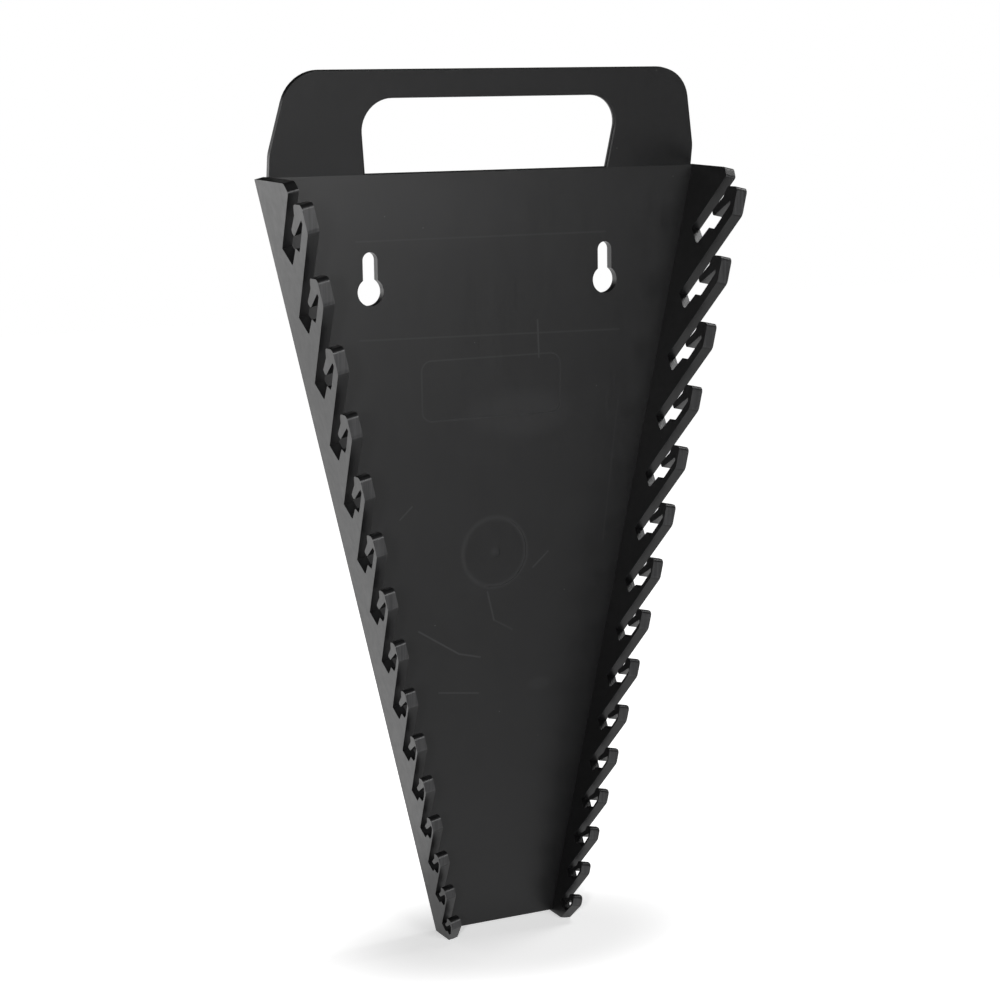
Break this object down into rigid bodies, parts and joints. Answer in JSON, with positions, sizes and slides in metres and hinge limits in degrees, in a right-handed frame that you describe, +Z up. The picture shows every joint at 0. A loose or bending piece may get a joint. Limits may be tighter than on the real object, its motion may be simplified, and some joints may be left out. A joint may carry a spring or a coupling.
{
  "type": "wrench rack",
  "caption": "Tapering black plastic rack with two side walls of graded slanted slots that grip wrench shanks, a hand hole on top and keyholes for hanging.",
  "frame": {"origin": "middle of the footprint at floor height, under the middle of the rack's depth", "axes": "+Z up along the panel, hooks point to -Y, the flat back faces +Y, +X to the right seen from the front"},
  "size_m": [0.2302, 0.0506, 0.4145],
  "materials": {
    "black_plastic": "satin moulded"
  },
  "bodies": {
    "root": {"rack_body": "black_plastic"}
  },
  "joints": []
}
